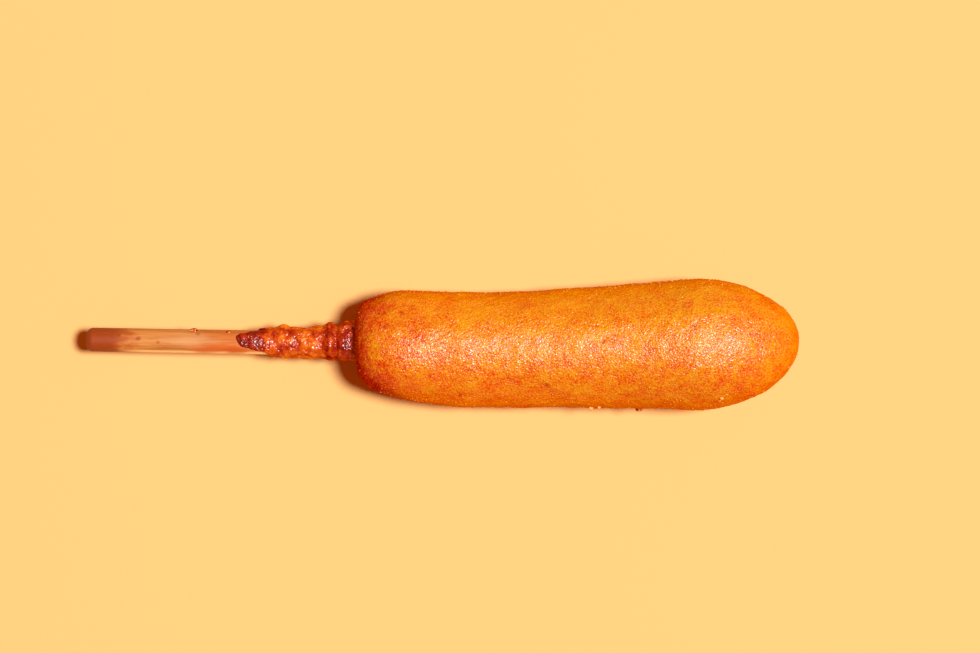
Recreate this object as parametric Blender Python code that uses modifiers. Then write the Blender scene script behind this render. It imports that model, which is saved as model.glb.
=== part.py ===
"""Corn dog lying on its side: a fried batter body, its gathered collar and a round wooden stick.

Metres, +Z up, +X from the stick's bare end to the rounded nose. The origin is on the surface that
the corn dog lies on, under the middle of its box.
"""

import math

import bmesh
import bpy
import numpy as np
from mathutils import Matrix, Vector, noise

# The whole: a quarter-inch stick sets the scale of everything else.
STICK_RADIUS = 0.003175
STICK_END_X = -0.09425
NOSE_X = 0.0943
FULL_TURN = 2 * math.pi

# The batter body, as radii at places along X. Behind the nose it is widest, and it narrows to a
# waist, then rounds in to a nearly flat face round the stick.
FACE_X = -0.0228
SHOULDER_LENGTH = 0.0150
WAIST_X = 0.0150
WIDEST_X = 0.0665
WAIST_RADIUS = 0.01525
WIDEST_RADIUS = 0.01710
SWELL_POWER = 1.4
FACE_ROUNDING = 2.0
SHOULDER_ROUNDING = 4.2

# The body bows a little to -Y at its waist, and its nose points slightly to +Y.
BODY_Y = 0.0002
BOW = 0.0015
BOW_X = 0.0120
BOW_HALF_LENGTH = 0.042
NOSE_SHIFT = 0.0007
# The flat spot is where the surface cuts this much off the underside.
REST_DEPTH = 0.00035
# Each dent or swelling: place along X, turn from the top towards +Y in degrees, height, spread.
DENTS = (
    (0.0136, 84.0, -0.00060, 0.0036),
    (-0.0090, 38.0, -0.00035, 0.0060),
    (0.0450, -40.0, -0.00030, 0.0080),
    (0.0800, 66.0, 0.00045, 0.0060),
    (0.0640, 82.0, 0.00060, 0.0100),
    (0.0300, -84.0, -0.00025, 0.0060),
    (-0.0145, -82.0, -0.00085, 0.0060),
    (-0.0150, -40.0, 0.00030, 0.0045),
)

# Low relief of the fried crust: broad lumps, and smaller crags that stand out of it.
LUMP_HEIGHT, LUMP_SIZE = 0.00030, 0.0110
CRAG_HEIGHT, CRAG_SIZE = 0.00022, 0.0034
COLLAR_CRAG_HEIGHT, COLLAR_CRAG_SIZE = 0.00032, 0.0021

# The stick rises towards the nose and turns slightly to -Y. Its inner end is hidden in the body.
STICK_END_Y = 0.00135
STICK_END_Z = 0.0104
STICK_RISE = math.radians(2.45)
STICK_TURN = math.radians(-0.95)
STICK_LENGTH = 0.152
STICK_ROUNDING = 0.0019
STICK_SIDES = 40
FIT_GAP = 0.0003

# The collar is batter that crept along the stick and set in folds. Places along it are distances
# from the stick's bare end. It begins as a tongue on the top of the stick.
COLLAR_START = 0.0477
COLLAR_START_SLANT = 0.0017
TONGUE_LENGTH = 0.0070
TONGUE_TURN = 6.0
TONGUE_HALF_WIDTH = 39.0
TONGUE_SQUARENESS = 5
TONGUE_BEAD = 0.00035
COLLAR_ROOT = 0.0716
COLLAR_BURIED = 0.0060
COLLAR_WALL = 0.00062
COLLAR_THINNEST = 0.00035
ROOT_WALL = 0.00165
ROOT_WALL_POWER = 2.2
ROOT_SHIFT = 0.00085
LIP_SHARE = 0.035
# Each fold ringing the collar: place, height, half its width, and how far it leans along X.
FOLDS = (
    (0.0476, 0.00025, 0.0009, 0.0006),
    (0.0521, 0.00055, 0.0012, -0.0007),
    (0.0563, 0.00012, 0.0011, 0.0010),
    (0.0602, 0.00040, 0.0013, -0.0008),
    (0.0650, 0.00085, 0.0010, 0.0007),
    (0.0686, 0.00060, 0.0015, -0.0002),
)
# The groove in front of the last fold, and the tear that stands up on the +Y side.
GROOVE_AT, GROOVE_DEPTH, GROOVE_SPREAD = 0.0667, 0.00060, 0.0006
TEAR_AT, TEAR_TURN, TEAR_HEIGHT, TEAR_SPREAD = 0.0527, 78.0, 0.00090, 0.0013

BODY_AROUND, BODY_ALONG = 68, 56
COLLAR_AROUND, COLLAR_ALONG = 40, 42
OUTLINE_SAMPLES = 4000
CUT_MARGIN = 0.02


def clear_scene():
    """Remove what the start-up scene holds."""
    for obj in list(bpy.data.objects):
        bpy.data.objects.remove(obj, do_unlink=True)


def new_collection(name):
    collection = bpy.data.collections.new(name)
    bpy.context.scene.collection.children.link(collection)
    return collection


def new_material(name, colour, roughness):
    """A Principled material with a linear colour."""
    material = bpy.data.materials.new(name)
    material.use_nodes = True
    shader = material.node_tree.nodes["Principled BSDF"]
    shader.inputs["Base Color"].default_value = (*colour, 1.0)
    shader.inputs["Roughness"].default_value = roughness
    return material


def new_object(name, bm, collection):
    mesh = bpy.data.meshes.new(name)
    bm.to_mesh(mesh)
    bm.free()
    obj = bpy.data.objects.new(name, mesh)
    collection.objects.link(obj)
    return obj


def make_helper(obj):
    """Mark an object as a shape that only cuts or joins."""
    obj.hide_render = True
    obj.display_type = "WIRE"


def bell(distance, spread):
    """1 at no distance, falling smoothly to 0 a few spreads away."""
    return math.exp(-((distance / spread) ** 2))


def signed_turn(a, b):
    """The turn from angle b to angle a in radians, between minus and plus half a turn."""
    return (a - b + math.pi) % FULL_TURN - math.pi


def flank_radius(x):
    """Radius of the body at x before its two ends are rounded."""
    share = min(max((x - WAIST_X) / (WIDEST_X - WAIST_X), 0.0), 1.0)
    return WAIST_RADIUS + (WIDEST_RADIUS - WAIST_RADIUS) * share**SWELL_POWER


def body_radius(x):
    """Radius of the body at x: an elliptical nose, a tapering flank and a blunt shoulder."""
    radius = flank_radius(x)
    if x > WIDEST_X:
        along = min((x - WIDEST_X) / (NOSE_X - WIDEST_X), 1.0)
        return radius * math.sqrt(1.0 - along**2)
    inward = min(max((x - FACE_X) / SHOULDER_LENGTH, 0.0), 1.0)
    return radius * (1.0 - (1.0 - inward) ** FACE_ROUNDING) ** (1.0 / SHOULDER_ROUNDING)


def body_centre(x):
    """Centre of the body's section at x. The underside runs level, a rest depth below the surface."""
    nose_share = max(0.0, (x - WIDEST_X) / (NOSE_X - WIDEST_X))
    bow = BOW * bell(x - BOW_X, BOW_HALF_LENGTH)
    return Vector((x, BODY_Y + NOSE_SHIFT * nose_share**3 - bow, flank_radius(x) - REST_DEPTH))


def even_places(radius_at, start, end, count):
    """Places along X that divide the outline radius_at into count equal runs, from start to end."""
    turns = np.linspace(0.0, math.pi, OUTLINE_SAMPLES)
    places = start + (end - start) * (1.0 - np.cos(turns)) / 2.0
    radii = np.array([radius_at(place) for place in places])
    run = np.concatenate([[0.0], np.cumsum(np.hypot(np.diff(places), np.diff(radii)))])
    return np.interp(np.linspace(0.0, run[-1], count + 1), run, places)


def crust_relief(point, crag_height, crag_size):
    """Height of the fried crust at a point: soft lumps, with crags that only stand out."""
    lumps = LUMP_HEIGHT * noise.noise(point / LUMP_SIZE)
    crags = crag_height * (abs(noise.noise(point / crag_size)) * 2.0 - 0.4)
    return lumps + crags


def dent_relief(x, turn):
    """Height that the dents and swellings add at a place on the body."""
    height = 0.0
    for place, degrees, depth, spread in DENTS:
        sideways = signed_turn(turn, math.radians(degrees)) * flank_radius(x)
        height += depth * bell(math.hypot(x - place, sideways), spread)
    return height


def body_point(x, turn):
    """Point of the body's surface at x. The turn is 0 on top and grows towards +Y."""
    radius = body_radius(x)
    outward = Vector((0.0, math.sin(turn), math.cos(turn)))
    point = body_centre(x) + outward * radius
    height = crust_relief(point, CRAG_HEIGHT, CRAG_SIZE) + dent_relief(x, turn)
    nose_share = max(0.0, (x - WIDEST_X) / (NOSE_X - WIDEST_X))
    face_share = max(0.0, 1.0 - radius / WAIST_RADIUS)
    lean = nose_share**2 - (face_share if x < WAIST_X else 0.0)
    return point + (outward + Vector((lean, 0.0, 0.0))).normalized() * height


def shaped_sphere(around, along, point_at):
    """A sphere of rings whose point at each ring and turn is point_at(ring, turn). Ring 0 is at +X."""
    bm = bmesh.new()
    bmesh.ops.create_uvsphere(bm, u_segments=around, v_segments=along, radius=1.0)
    for vert in bm.verts:
        direction = vert.co.normalized()
        ring = round(math.acos(max(-1.0, min(1.0, direction.z))) / math.pi * along)
        # The sphere's own X and Y become Y and Z, so its pole points along X.
        vert.co = point_at(ring, math.atan2(direction.x, direction.y))
    bmesh.ops.recalc_face_normals(bm, faces=bm.faces)
    return bm


def make_body(collection):
    places = even_places(body_radius, NOSE_X, FACE_X, BODY_ALONG)
    bm = shaped_sphere(
        BODY_AROUND, BODY_ALONG, lambda ring, turn: body_point(places[ring], turn)
    )
    return new_object("batter", bm, collection)


def stick_matrix():
    """Places a shape that runs along +X from the stick's bare end."""
    place = Matrix.Translation((STICK_END_X, STICK_END_Y, STICK_END_Z))
    return place @ Matrix.Rotation(STICK_TURN, 4, "Z") @ Matrix.Rotation(-STICK_RISE, 4, "Y")


def collar_start(turn):
    """Where the collar begins on this side of the stick, measured along the stick."""
    away = abs(math.degrees(signed_turn(turn, math.radians(TONGUE_TURN))))
    tongue = TONGUE_LENGTH * math.exp(-((away / TONGUE_HALF_WIDTH) ** TONGUE_SQUARENESS))
    return COLLAR_START - COLLAR_START_SLANT * math.sin(turn) - tongue


def collar_wall(along, turn):
    """Thickness of the batter outside the stick: a wall that thickens to the body, and its folds."""
    share = min(max((along - COLLAR_START) / (COLLAR_ROOT - COLLAR_START), 0.0), 1.0)
    wall = COLLAR_WALL + ROOT_WALL * share**ROOT_WALL_POWER
    wall += ROOT_SHIFT * share**ROOT_WALL_POWER * math.sin(turn)
    for place, height, half_width, lean in FOLDS:
        centre = place + lean * math.cos(turn + place / half_width)
        fold = bell(along - centre, half_width)
        wall += height * fold * (0.75 + 0.25 * math.sin(2.0 * turn + place / half_width))
    wall -= GROOVE_DEPTH * bell(along - GROOVE_AT, GROOVE_SPREAD)
    wall += TONGUE_BEAD * bell(along - COLLAR_START + TONGUE_LENGTH / 2, TONGUE_LENGTH / 3)
    across = signed_turn(turn, math.radians(TEAR_TURN)) * STICK_RADIUS
    return wall + TEAR_HEIGHT * bell(math.hypot(along - TEAR_AT, across), TEAR_SPREAD)


def collar_point(share, turn):
    """Point of the collar in the stick's frame. The share runs from 0 in the body to 1 at its end."""
    root = COLLAR_ROOT + COLLAR_BURIED
    start = collar_start(turn)
    if share >= 1.0:
        return Vector((COLLAR_START - TONGUE_LENGTH, 0.0, 0.0))
    if share <= 0.0:
        return Vector((root, 0.0, 0.0))
    along = root + (start - root) * min(share / (1.0 - LIP_SHARE), 1.0)
    radius = STICK_RADIUS + collar_wall(along, turn)
    outward = Vector((0.0, math.sin(turn), math.cos(turn)))
    point = Vector((along, 0.0, 0.0)) + outward * radius
    radius += crust_relief(point, COLLAR_CRAG_HEIGHT, COLLAR_CRAG_SIZE)
    radius = max(radius, STICK_RADIUS + FIT_GAP + COLLAR_THINNEST)
    return Vector((along, 0.0, 0.0)) + outward * radius


def make_collar(collection):
    bm = shaped_sphere(
        COLLAR_AROUND,
        COLLAR_ALONG,
        lambda ring, turn: collar_point(ring / COLLAR_ALONG, turn),
    )
    collar = new_object("collar_form", bm, collection)
    collar.matrix_world = stick_matrix()
    make_helper(collar)
    return collar


def make_rod(name, collection, radius, start, end):
    """A round rod along the stick's axis, from start to end past the stick's bare end."""
    bm = bmesh.new()
    bmesh.ops.create_cone(
        bm,
        cap_ends=True,
        segments=STICK_SIDES,
        radius1=radius,
        radius2=radius,
        depth=end - start,
    )
    lay_down = Matrix.Rotation(math.pi / 2, 4, "Y")
    middle = Matrix.Translation(((start + end) / 2, 0.0, 0.0))
    bmesh.ops.transform(bm, matrix=middle @ lay_down, verts=bm.verts)
    rod = new_object(name, bm, collection)
    rod.matrix_world = stick_matrix()
    return rod


def make_stick(collection):
    stick = make_rod("stick", collection, STICK_RADIUS, 0.0, STICK_LENGTH)
    rounding = stick.modifiers.new("rounded_ends", "BEVEL")
    rounding.width = STICK_ROUNDING
    rounding.segments = 4
    rounding.limit_method = "ANGLE"
    rounding.angle_limit = math.radians(60)
    return stick


def make_socket_cutter(collection):
    """The hollow that the stick pushed into the batter, open at the collar's end."""
    cutter = make_rod(
        "socket_cutter",
        collection,
        STICK_RADIUS + FIT_GAP,
        -CUT_MARGIN,
        STICK_LENGTH + FIT_GAP,
    )
    make_helper(cutter)
    return cutter


def make_floor_cutter(collection):
    """A block below the surface, which leaves the flat spot that the body rests on."""
    bm = bmesh.new()
    bmesh.ops.create_cube(bm, size=1.0)
    size = Vector((NOSE_X - STICK_END_X + CUT_MARGIN, 4 * WIDEST_RADIUS, CUT_MARGIN))
    bmesh.ops.scale(bm, vec=size, verts=bm.verts)
    bmesh.ops.translate(bm, vec=(0.0, 0.0, -CUT_MARGIN / 2), verts=bm.verts)
    cutter = new_object("floor_cutter", bm, collection)
    make_helper(cutter)
    return cutter


def add_boolean(obj, other, operation):
    modifier = obj.modifiers.new(other.name, "BOOLEAN")
    modifier.operation = operation
    modifier.object = other
    modifier.solver = "EXACT"


def shade_smooth(obj, sharp_degrees):
    obj.data.shade_smooth()
    obj.data.set_sharp_from_angle(angle=math.radians(sharp_degrees))


def main():
    clear_scene()
    corn_dog = new_collection("corn_dog")
    helpers = new_collection("cutters")

    batter = make_body(corn_dog)
    add_boolean(batter, make_collar(helpers), "UNION")
    add_boolean(batter, make_socket_cutter(helpers), "DIFFERENCE")
    add_boolean(batter, make_floor_cutter(helpers), "DIFFERENCE")
    stick = make_stick(corn_dog)

    batter.data.materials.append(new_material("fried_cornmeal_batter", (0.83, 0.20, 0.012), 0.45))
    stick.data.materials.append(new_material("birch_wood", (0.66, 0.31, 0.10), 0.60))
    shade_smooth(batter, 70)
    shade_smooth(stick, 50)


main()
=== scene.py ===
# %% [markdown]
# # A corn dog on its stick
# This lesson dresses a corn dog that lies on a pale table and is seen from straight above.
# The solid model gives the true sizes: a fried batter body, the collar of batter gathered round
# the stick, and a round wooden stick. Blender adds what the eye reads as food and wood: grit,
# blisters, pits and oil on the crust, and grain and stains on the wood.

# %% Load the solid model
import math

import bmesh
import bpy
import numpy as np
from mathutils import Matrix, Vector


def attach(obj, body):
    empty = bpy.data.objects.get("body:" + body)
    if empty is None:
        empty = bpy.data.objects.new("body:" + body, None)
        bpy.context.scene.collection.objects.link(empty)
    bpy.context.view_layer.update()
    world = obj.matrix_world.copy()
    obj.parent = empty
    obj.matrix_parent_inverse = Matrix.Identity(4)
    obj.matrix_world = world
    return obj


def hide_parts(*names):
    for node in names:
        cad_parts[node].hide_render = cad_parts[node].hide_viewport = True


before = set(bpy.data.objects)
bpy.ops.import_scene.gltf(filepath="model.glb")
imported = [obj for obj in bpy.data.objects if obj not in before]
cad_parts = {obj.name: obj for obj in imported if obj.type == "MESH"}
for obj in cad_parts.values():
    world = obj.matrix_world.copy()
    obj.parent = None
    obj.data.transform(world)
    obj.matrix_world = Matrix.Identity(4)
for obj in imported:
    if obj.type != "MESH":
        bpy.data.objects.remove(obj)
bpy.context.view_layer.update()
MM = 0.001

# %% [markdown]
# ## Colours and nodes
# Colours are written as sRGB hex values, the way a colour picker shows them. Blender's shaders
# work with linear light, so one function converts them. Every node, of a material or of a shape,
# is added by one small function, so that the trees below read from top to bottom. Another one ends
# each tree of shapes, because they all need the same last nodes.


# %% Colour and node helpers
def linear(hex_code):
    """The linear colour of an sRGB hex value such as #E07A1E."""
    channels = [int(hex_code[start : start + 2], 16) / 255 for start in (1, 3, 5)]
    light = [c / 12.92 if c <= 0.04045 else ((c + 0.055) / 1.055) ** 2.4 for c in channels]
    return (*light, 1.0)


def add_node(tree, kind, inputs=None, **settings):
    """Add a node, with its settings and with a link or a value for each named or numbered input."""
    node = tree.nodes.new(kind)
    for name, value in settings.items():
        setattr(node, name, value)
    for key, value in (inputs or {}).items():
        if isinstance(value, bpy.types.NodeSocket):
            tree.links.new(value, node.inputs[key])
        else:
            node.inputs[key].default_value = value
    return node


def close_tree(tree, shape, material):
    """End a tree of shapes: smooth shading, real meshes only, its material, and the output."""
    smooth = add_node(tree, "GeometryNodeSetShadeSmooth", {"Geometry": shape, "Shade Smooth": True})
    real = add_node(tree, "GeometryNodeRealizeInstances", {"Geometry": smooth.outputs[0]})
    coated = add_node(
        tree, "GeometryNodeSetMaterial", {"Geometry": real.outputs[0], "Material": material}
    )
    add_node(tree, "NodeGroupOutput", {"Geometry": coated.outputs[0]})


print("mid orange in linear light:", [round(c, 3) for c in linear("#E07A1E")[:3]])

# %% [markdown]
# ## The camera
# The photograph looks straight down. A long lens from about 1.3 m away gives its mild perspective.
# A pixel of the photograph is 0.265 mm at the height of the corn dog's middle, so the distance
# follows from the lens and the sensor, both given in millimetres.

# %% Camera straight above
PIXEL = 0.265 * MM
IMAGE_WIDTH = 980
LENS = 180.0
SENSOR_WIDTH = 36.0
VIEW_CENTRE = (12.75 * MM, 4.8 * MM)
VIEW_LEVEL = 12.0 * MM
camera_data = bpy.data.cameras.new("camera")
camera_data.lens = LENS
camera_data.sensor_width = SENSOR_WIDTH
camera_data.clip_start = 0.01
camera = bpy.data.objects.new("camera", camera_data)
view_distance = IMAGE_WIDTH * PIXEL * LENS / SENSOR_WIDTH
camera.location = (*VIEW_CENTRE, VIEW_LEVEL + view_distance)
bpy.context.scene.collection.objects.link(camera)
bpy.context.scene.camera = camera
print("camera height in mm:", round(camera.location.z / MM))

# %% [markdown]
# ## The table
# The corn dog lies on a plain pale yellow table: a matt sheet without a pattern, large enough that
# its far edge stays out of low views.

# %% Pale table
FLOOR_SIZE = 8.0
FLOOR_DROP = 0.05 * MM
bpy.ops.mesh.primitive_plane_add(size=FLOOR_SIZE, location=(0.0, 0.0, -FLOOR_DROP))
floor = bpy.context.object
floor.name = "table"
floor_material = bpy.data.materials.new("matt_painted_board")
floor_material.use_nodes = True
floor_shader = floor_material.node_tree.nodes["Principled BSDF"]
floor_shader.inputs["Base Color"].default_value = linear("#D3A868")
floor_shader.inputs["Roughness"].default_value = 0.9
floor_shader.inputs["Specular IOR Level"].default_value = 0.1
floor.data.materials.append(floor_material)
print("table:", FLOOR_SIZE, "m wide")

# %% [markdown]
# ## The light
# The short shadow falls to the left and hardly downwards, so the main light stands to the right,
# about 18 degrees off the vertical. The shadow's soft edge tells how large it looks: 10 degrees
# across, which is a disc of 110 cm at 6 m. From that far it lights the whole table evenly. A weak
# warm light from all round opens the shadows, as the walls of a room with warm colours do.

# %% Studio light
LIGHT_TILT = math.radians(18.5)
LIGHT_TURN = math.radians(5)
LIGHT_DISTANCE = 6.0
LIGHT_WIDTH = 1.10
LIGHT_POWER = 600.0
WALL_COLOUR = "#FF8228"
WALL_STRENGTH = 0.44
towards_light = Vector((
    math.sin(LIGHT_TILT) * math.cos(LIGHT_TURN),
    math.sin(LIGHT_TILT) * math.sin(LIGHT_TURN),
    math.cos(LIGHT_TILT),
))
light_data = bpy.data.lights.new("studio_light", "AREA")
light_data.shape = "DISK"
light_data.size = LIGHT_WIDTH
light_data.energy = LIGHT_POWER
light = bpy.data.objects.new("studio_light", light_data)
light.location = towards_light * LIGHT_DISTANCE
light.rotation_euler = towards_light.to_track_quat("Z", "Y").to_euler()
bpy.context.scene.collection.objects.link(light)

world = bpy.data.worlds.new("warm_walls")
bpy.context.scene.world = world
world.use_nodes = True
background = world.node_tree.nodes["Background"]
background.inputs["Color"].default_value = linear(WALL_COLOUR)
background.inputs["Strength"].default_value = WALL_STRENGTH
bpy.context.scene.view_settings.view_transform = "Standard"
print("light at", [round(c, 2) for c in light.location], "m")

# %% [markdown]
# ## Where the stick runs
# The stick lies at a slight slope, and its grain and the collar's socket follow its line. The line
# is found from the points of the solid's stick: the direction in which they spread the most.


# %% Find the stick's line
def points_of(mesh):
    """The places of a mesh's points, as rows of three numbers."""
    flat = np.empty(len(mesh.vertices) * 3)
    mesh.vertices.foreach_get("co", flat)
    return flat.reshape(-1, 3)


stick_points = points_of(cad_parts["stick"].data)
stick_middle = (stick_points.min(axis=0) + stick_points.max(axis=0)) / 2
stick_spread = np.linalg.svd(stick_points - stick_middle, full_matrices=False)[2][0]
stick_axis = Vector(stick_spread * np.sign(stick_spread[0]))
stick_along = (stick_points - stick_middle) @ np.array(stick_axis)
STICK_LENGTH = float(stick_along.max() - stick_along.min())
stick_end = Vector(stick_middle) + stick_axis * float(stick_along.min())
stick_across = (stick_points - stick_middle) - np.outer(stick_along, np.array(stick_axis))
STICK_RADIUS = float(np.linalg.norm(stick_across, axis=1).max())
print("stick length and radius in mm:", round(STICK_LENGTH / MM, 2), round(STICK_RADIUS / MM, 3))

# %% [markdown]
# A matrix turns places on the stick into places in the scene. Its X axis runs from the bare end
# into the food, and its Z axis points up.

# %% The stick's own directions
stick_side = Vector((0.0, 0.0, 1.0)).cross(stick_axis).normalized()
stick_up = stick_axis.cross(stick_side)
stick_matrix = Matrix((
    (stick_axis.x, stick_side.x, stick_up.x, stick_end.x),
    (stick_axis.y, stick_side.y, stick_up.y, stick_end.y),
    (stick_axis.z, stick_side.z, stick_up.z, stick_end.z),
    (0.0, 0.0, 0.0, 1.0),
))
print("slope of the stick in degrees:", round(math.degrees(math.asin(stick_axis.z)), 2))

# %% [markdown]
# ## A smooth form from the solid
# The solid's faces are a millimetre or two across and would show as flats. Its form is kept and its
# faces are not: a copy is rebuilt from small even squares with a Remesh, and a Smooth takes the
# flats away. The body and the collar are rebuilt one by one, because the small collar needs much
# finer squares than the large body.

# %% Copy the solid as one closed skin
MERGE_DISTANCE = 0.002 * MM


def closed_copy(node):
    """A merged copy of a solid's mesh, as a bmesh."""
    bm = bmesh.new()
    bm.from_mesh(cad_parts[node].data)
    bmesh.ops.remove_doubles(bm, verts=bm.verts, dist=MERGE_DISTANCE)
    return bm


def cut_at(bm, place, direction):
    """Cut a closed mesh at a plane, drop the side the direction points to, and close the cut."""
    everything = list(bm.verts) + list(bm.edges) + list(bm.faces)
    cut = bmesh.ops.bisect_plane(
        bm, geom=everything, plane_co=place, plane_no=direction, clear_outer=True
    )
    rim = [edge for edge in cut["geom_cut"] if isinstance(edge, bmesh.types.BMEdge)]
    return bmesh.ops.holes_fill(bm, edges=rim)["faces"]


def axis_place(point):
    """How far along the stick a point lies, and how far from the stick's line."""
    offset = point - stick_end
    along = offset.dot(stick_axis)
    return along, (offset - stick_axis * along).length


def as_form(bm, name):
    """Turn a bmesh into a mesh of triangles and count its open edges."""
    bmesh.ops.triangulate(bm, faces=bm.faces)
    mesh = bpy.data.meshes.new(name)
    bm.to_mesh(mesh)
    open_edges = sum(1 for edge in bm.edges if not edge.is_manifold)
    bm.free()
    print(name, "has", len(mesh.polygons), "faces and", open_edges, "open edges")
    return mesh


# %% [markdown]
# The solid has a socket for the stick. The body doesn't need it, because the collar and the stick
# hide it, so its wall is taken out and the body is closed where the collar meets it. A few edges
# stay open there, and the Remesh that follows closes them. The body's end by the stick isn't quite
# even: the lower shoulder slopes a little more than the solid's, and the upper one is squarer. So
# its points are drawn in or out across the body there, by up to 1.4 mm: each shoulder has the X
# where that starts, the X where it is whole, and its share of the half width.

# %% The body's form
CREVICE_X = -23.0 * MM
SOCKET_RADIUS = STICK_RADIUS + 0.5 * MM
SOCKET_REACH = STICK_LENGTH + 2 * MM
LOWER_SHOULDER = (6.0, -20.0, -0.115)
UPPER_SHOULDER = (-18.5, -21.5, 0.12)
body_bm = closed_copy("batter")
for vert in body_bm.verts:
    start, end, share = LOWER_SHOULDER if vert.co.y < 0.0 else UPPER_SHOULDER
    progress = (vert.co.x / MM - start) / (end - start)
    vert.co.y *= 1.0 + share * min(max(progress, 0.0), 1.0)
socket_faces = []
for face in body_bm.faces:
    along, away = axis_place(face.calc_center_median())
    if away < SOCKET_RADIUS and along < SOCKET_REACH:
        socket_faces.append(face)
bmesh.ops.delete(body_bm, geom=socket_faces, context="FACES")
cut_at(body_bm, (CREVICE_X, 0.0, 0.0), (-1.0, 0.0, 0.0))
body_mesh = as_form(body_bm, "body_form")

# %% [markdown]
# Round the stick the batter has baked on, with no gap. So in the collar the socket is drawn in
# until it lies just under the stick's skin, and the batter seems to grow out of the wood. The
# relief that follows adds to the collar's thickness, so its outer skin is drawn in first. At its
# wide end the collar reaches a little way into the body, so that no line of light shows there.

# %% The collar's form
COLLAR_INSERT = 1.3 * MM
RELIEF_ROOM = 0.35 * MM
THICK_ENOUGH = 1.5 * MM
UNDER_THE_SKIN = 0.25 * MM
NEARLY_ZERO = 1e-6
collar_bm = closed_copy("batter")
for vert in collar_bm.verts:
    along, away = axis_place(vert.co)
    on_axis = stick_end + stick_axis * along
    if away < SOCKET_RADIUS and along < SOCKET_REACH:
        new_away = STICK_RADIUS - UNDER_THE_SKIN
    else:
        new_away = away - RELIEF_ROOM * min((away - SOCKET_RADIUS) / THICK_ENOUGH, 1.0)
    vert.co = on_axis + (vert.co - on_axis) * (new_away / max(away, NEARLY_ZERO))
caps = cut_at(collar_bm, (CREVICE_X, 0.0, 0.0), (1.0, 0.0, 0.0))
wide_cap = max(caps, key=lambda face: face.calc_area())
pushed = bmesh.ops.extrude_face_region(collar_bm, geom=[wide_cap])["geom"]
bmesh.ops.delete(collar_bm, geom=[wide_cap], context="FACES_ONLY")
for vert in [part for part in pushed if isinstance(part, bmesh.types.BMVert)]:
    vert.co.x += COLLAR_INSERT
collar_mesh = as_form(collar_bm, "collar_form")

# %% [markdown]
# ## The relief of a fried crust
# Batter fries into a skin that is never even. Broad lumps come from the dip, low blisters from
# steam, close-set beads and grit from the cornmeal, and small dark pits from bubbles that burst.
# All of them follow the surface, so one Geometry Nodes tree lifts and lowers every point along
# its normal. The body and the collar share the tree with their own sizes. It also stores the
# relief and the pits, so that the colour can follow them. Layers of one kind add different numbers
# to the seed, which keeps them apart.

# %% The tree's named inputs
relief = bpy.data.node_groups.new("crust_relief", "GeometryNodeTree")
relief.interface.new_socket("Geometry", in_out="INPUT", socket_type="NodeSocketGeometry")
relief.interface.new_socket("Geometry", in_out="OUTPUT", socket_type="NodeSocketGeometry")
RELIEF_SIZES = (
    "Lump size", "Lump height", "Blister size", "Blister height", "Bead size", "Bead height",
    "Grit size", "Grit height", "Pit spacing", "Pit radius", "Pit depth", "Pit share",
    "Fold spacing", "Fold height", "Ring share", "Seed",
)
for name in RELIEF_SIZES:
    relief.interface.new_socket(name, in_out="INPUT", socket_type="NodeSocketFloat")
relief.interface.new_socket("Material", in_out="INPUT", socket_type="NodeSocketMaterial")
given = add_node(relief, "NodeGroupInput").outputs
place = add_node(relief, "GeometryNodeInputPosition").outputs[0]
print("relief inputs:", ", ".join(RELIEF_SIZES))

# %% Lumps and grit from noise
NOISE_RANGE = (0.25, 0.75)
heights = []
for size, height, detail, offset in (
    ("Lump size", "Lump height", 1.0, 0.0),
    ("Grit size", "Grit height", 1.0, 7.3),
):
    scale = add_node(
        relief, "ShaderNodeMath", {0: 1.0, 1: given[size]}, operation="DIVIDE"
    ).outputs[0]
    seed = add_node(
        relief, "ShaderNodeMath", {0: given["Seed"], 1: offset}, operation="ADD"
    ).outputs[0]
    noise = add_node(
        relief,
        "ShaderNodeTexNoise",
        {"Vector": place, "W": seed, "Scale": scale, "Detail": detail},
        noise_dimensions="4D",
    )
    spread = add_node(
        relief, "ShaderNodeMapRange",
        {"Value": noise.outputs[0], "From Min": NOISE_RANGE[0], "From Max": NOISE_RANGE[1],
         "To Min": -1.0},
        clamp=False,
    )
    heights.append(add_node(
        relief, "ShaderNodeMath", {0: spread.outputs[0], 1: given[height]}, operation="MULTIPLY"
    ).outputs[0])
print("noise layers:", len(heights))

# %% Blisters, beads and pits from cells
DOME_EDGE = 0.62
cells = {}
for name, size, offset in (
    ("blister", "Blister size", 3.1), ("bead", "Bead size", 5.9), ("pit", "Pit spacing", 11.7)
):
    scale = add_node(
        relief, "ShaderNodeMath", {0: 1.0, 1: given[size]}, operation="DIVIDE"
    ).outputs[0]
    seed = add_node(
        relief, "ShaderNodeMath", {0: given["Seed"], 1: offset}, operation="ADD"
    ).outputs[0]
    cells[name] = add_node(
        relief,
        "ShaderNodeTexVoronoi",
        {"Vector": place, "W": seed, "Scale": scale},
        voronoi_dimensions="4D",
    )
for name, height in (("blister", "Blister height"), ("bead", "Bead height")):
    dome = add_node(
        relief, "ShaderNodeMapRange",
        {"Value": cells[name].outputs["Distance"], "From Max": DOME_EDGE, "To Min": 1.0, "To Max": 0.0},
        interpolation_type="SMOOTHSTEP",
    )
    heights.append(add_node(
        relief, "ShaderNodeMath", {0: dome.outputs[0], 1: given[height]}, operation="MULTIPLY"
    ).outputs[0])
pit_edge = add_node(
    relief, "ShaderNodeMath", {0: given["Pit radius"], 1: given["Pit spacing"]}, operation="DIVIDE"
).outputs[0]
hollow = add_node(
    relief, "ShaderNodeMapRange",
    {"Value": cells["pit"].outputs["Distance"], "From Max": pit_edge, "To Min": 1.0, "To Max": 0.0},
    interpolation_type="SMOOTHSTEP",
)
cell_chance = add_node(relief, "ShaderNodeSeparateXYZ", {0: cells["pit"].outputs["Color"]})
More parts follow.
